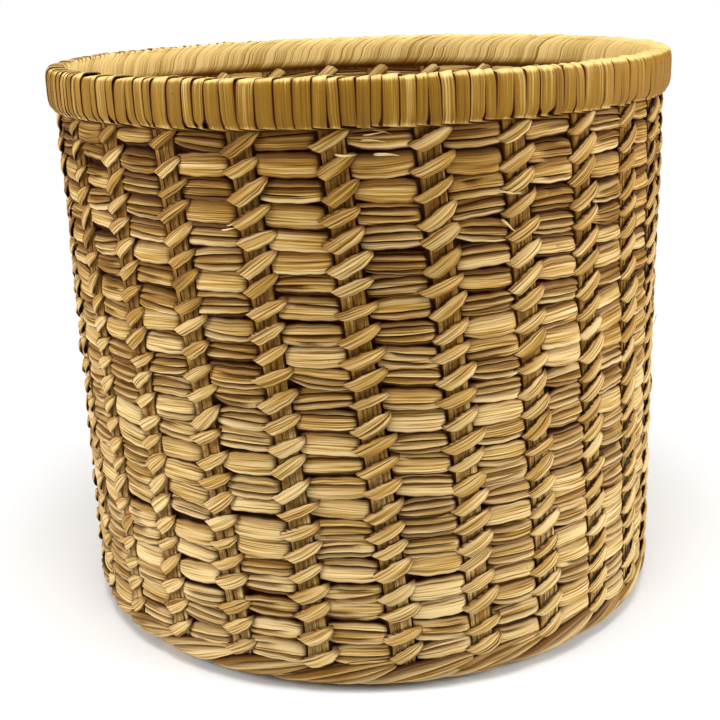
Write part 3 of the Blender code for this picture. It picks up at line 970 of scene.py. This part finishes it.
def rush_material(name):
    """A dried rush finish."""
    settings = bpy.context.scene.basket
    values = {**RUSH, **FINISHES[name]}
    colours = {"Pale": settings.pale, "Honey": settings.honey, "Olive": settings.olive,
               "Shade brown": settings.shade_brown, "Shadow": settings.shadow}
    if name == "Rim strip":
        colours.update(Pale=settings.rim_pale, Honey=settings.rim_honey)
    made = bpy.data.materials.new(name)
    made.use_nodes = True
    nodes = made.node_tree.nodes
    fibres = nodes.new("ShaderNodeGroup")
    fibres.node_tree = bpy.data.node_groups.get("Rush fibres") or fibre_group()
    fill(fibres, values)
    fill(fibres, {socket: (*colour, 1) for socket, colour in colours.items()})
    bump = {"Strength": 0.8, "Distance": 0.00026 * values["Contrast"], "Height": fibres.outputs["Height"]}
    fill(nodes["Principled BSDF"], {
        "Base Color": fibres.outputs["Colour"],
        "Roughness": fibres.outputs["Roughness"],
        "Normal": fill(nodes.new("ShaderNodeBump"), bump).outputs["Normal"],
        "Metallic": 0,
        "Specular IOR Level": 0.12,
    })
    return made


def finish(name):
    """The finish of a group of pieces, made the first time it is asked for."""
    return bpy.data.materials.get(name) or rush_material(name)


class BASKET_OT_wall_weft(bpy.types.Operator):
    """Twine every round of the wall"""

    bl_idname = "basket.wall_weft"
    bl_label = "Wall Weft"

    def execute(self, context):
        for number, node in enumerate(COURSE_NODES):
            add_piece(f"twined_{node}", course_mesh(number), "Weft rush", "weft_rush", node)
        add_piece("frayed_ends", frayed_ends_mesh(), "Weft rush", "weft_rush")
        return {"FINISHED"}


class BASKET_OT_stakes(bpy.types.Operator):
    """Set up the stakes, each a bundle of stems"""

    bl_idname = "basket.stakes"
    bl_label = "Stakes"

    def execute(self, context):
        for number, node in enumerate(STAKE_NODES):
            add_piece(f"stems_{node}", stake_mesh(number), "Stake rush", "stake_rush", node)
        return {"FINISHED"}


class BASKET_OT_heel(bpy.types.Operator):
    """Lay the heavy twist round the heel and the slim pair inside it"""

    bl_idname = "basket.heel"
    bl_label = "Heel"

    def execute(self, context):
        add_piece("heel_twist_strands", heel_mesh(), "Weft rush", "weft_rush", "heel_twist")
        add_piece("heel_inner_twining", heel_inner_mesh(), "Weft rush", "weft_rush", "heel_inner_strand")
        return {"FINISHED"}


class BASKET_OT_floor(bpy.types.Operator):
    """Twine both faces of the floor and plait its middle"""

    bl_idname = "basket.floor"
    bl_label = "Floor"

    def execute(self, context):
        for level, side in (("lower", 1), ("upper", -1)):
            name = f"floor_{level}_twining"
            add_piece(name, floor_mesh(name, side), "Weft rush", "weft_rush", f"floor_{level}_weft")
        add_piece("floor_start_plait", floor_start_mesh(), "Stake rush", "stake_rush", "floor_start")
        return {"FINISHED"}


class BASKET_OT_rim(bpy.types.Operator):
    """Wind the strip over the rim's bundle"""

    bl_idname = "basket.rim"
    bl_label = "Rim"

    def execute(self, context):
        add_piece("rim_core_bundle", rim_core_mesh(), "Rim bundle", "stake_rush", "rim_core")
        add_piece("rim_wrap_strips", rim_wrap_mesh(), "Rim strip", "rim_rush", "rim_wrap")
        return {"FINISHED"}


def show_white(nodes, share, shader, kind, output):
    """Shows plain white in place of the shader, by the share."""
    white = fill(nodes.new(kind), {"Color": (1, 1, 1, 1), "Strength": 1})
    mix = fill(nodes.new("ShaderNodeMixShader"), {"Fac": share, 1: shader, 2: white.outputs[0]})
    fill(nodes[output], {"Surface": mix.outputs["Shader"]})


def stage_material():
    """Pale ground that takes the basket's shadow near it and is plain white further off."""
    made = bpy.data.materials.new("Studio floor")
    made.use_nodes = True
    nodes = made.node_tree.nodes
    shader = nodes["Principled BSDF"]
    fill(shader, {"Base Color": (0.86, 0.86, 0.86, 1), "Roughness": 0.9, "Specular IOR Level": 0.1})
    place = nodes.new("ShaderNodeTexCoord")
    distance = nodes.new("ShaderNodeVectorMath")
    distance.operation = "LENGTH"
    fill(distance, {0: place.outputs["Object"]})
    ray = nodes.new("ShaderNodeLightPath").outputs
    share = ray["Is Camera Ray"]
    for kind in ("Is Glossy Ray", "Is Transmission Ray"):
        share = math_node(nodes, "MAXIMUM", share, ray[kind])
    far = range_node(nodes, distance.outputs["Value"], 0.30, 0.62)
    share = math_node(nodes, "MULTIPLY", far, share)
    show_white(nodes, share, shader.outputs["BSDF"], "ShaderNodeEmission", "Material Output")
    return made


def stage_world():
    """Soft white light all round, seen as white."""
    world = bpy.data.worlds.new("Studio")
    bpy.context.scene.world = world
    world.use_nodes = True
    nodes = world.node_tree.nodes
    light = fill(nodes["Background"], {"Color": (1, 1, 1, 1), "Strength": WORLD_STRENGTH})
    ray = nodes.new("ShaderNodeLightPath")
    show_white(nodes, ray.outputs["Is Camera Ray"], light.outputs["Background"], "ShaderNodeBackground",
               "World Output")


def stage_lamps():
    for name, place, size, power in LAMPS:
        lamp = bpy.data.lights.new(name, "AREA")
        lamp.size = size
        lamp.energy = power
        holder = add_object(name, lamp)
        holder.location = place
        holder.rotation_euler = (Vector(LAMP_TARGET) - Vector(place)).to_track_quat("-Z", "Y").to_euler()


def stage_camera():
    """The photograph's view: a little above the rim and looking down, turned slightly on its axis."""
    camera = bpy.data.cameras.new("Camera")
    camera.sensor_width = 36
    camera.lens = 62.09
    camera.clip_start = 0.01
    holder = add_object("Camera", camera)
    holder.location = (0, -0.56126, 0.27418)
    tilt, turn, roll = math.radians(90 - 17.424), math.radians(0.35), math.radians(-1.908)
    aim = Euler((tilt, 0, turn), "XYZ").to_matrix() @ Euler((0, 0, roll), "XYZ").to_matrix()
    holder.rotation_euler = aim.to_euler()
    bpy.context.scene.camera = holder


class BASKET_OT_stage(bpy.types.Operator):
    """Set the pale floor, the soft light and the camera"""

    bl_idname = "basket.stage"
    bl_label = "Stage"

    def execute(self, context):
        bm = bmesh.new()
        bmesh.ops.create_circle(bm, cap_ends=True, segments=96, radius=12)
        mesh = bpy.data.meshes.new("studio_floor")
        bm.to_mesh(mesh)
        bm.free()
        floor = add_object("studio_floor", mesh)
        mesh.materials.append(stage_material())
        stage_world()
        stage_lamps()
        stage_camera()
        context.scene.view_settings.view_transform = "Standard"
        return {"FINISHED"}


class BASKET_PT_panel(bpy.types.Panel):
    """Lists the basket's pieces and its sizes"""

    bl_idname = "BASKET_PT_panel"
    bl_label = "Twined Basket"
    bl_space_type = "VIEW_3D"
    bl_region_type = "UI"
    bl_category = "Basket"

    def draw(self, context):
        settings = context.scene.basket
        sizes = self.layout.column(align=True)
        for name in BasketSettings.__annotations__:
            sizes.prop(settings, name)
        pieces = self.layout.column(align=True)
        for operator in OPERATORS:
            pieces.operator(operator.bl_idname)


OPERATORS = (BASKET_OT_stakes, BASKET_OT_wall_weft, BASKET_OT_heel, BASKET_OT_floor, BASKET_OT_rim,
             BASKET_OT_stage)
CLASSES = (BasketSettings, *OPERATORS, BASKET_PT_panel)


def register():
    for entry in CLASSES:
        bpy.utils.register_class(entry)
    bpy.types.Scene.basket = bpy.props.PointerProperty(type=BasketSettings)


def unregister():
    del bpy.types.Scene.basket
    for entry in reversed(CLASSES):
        bpy.utils.unregister_class(entry)


def main():
    register()
    bpy.ops.basket.stakes()
    bpy.ops.basket.wall_weft()
    bpy.ops.basket.heel()
    bpy.ops.basket.floor()
    bpy.ops.basket.rim()
    bpy.ops.basket.stage()


if __name__ == "__main__":
    main()
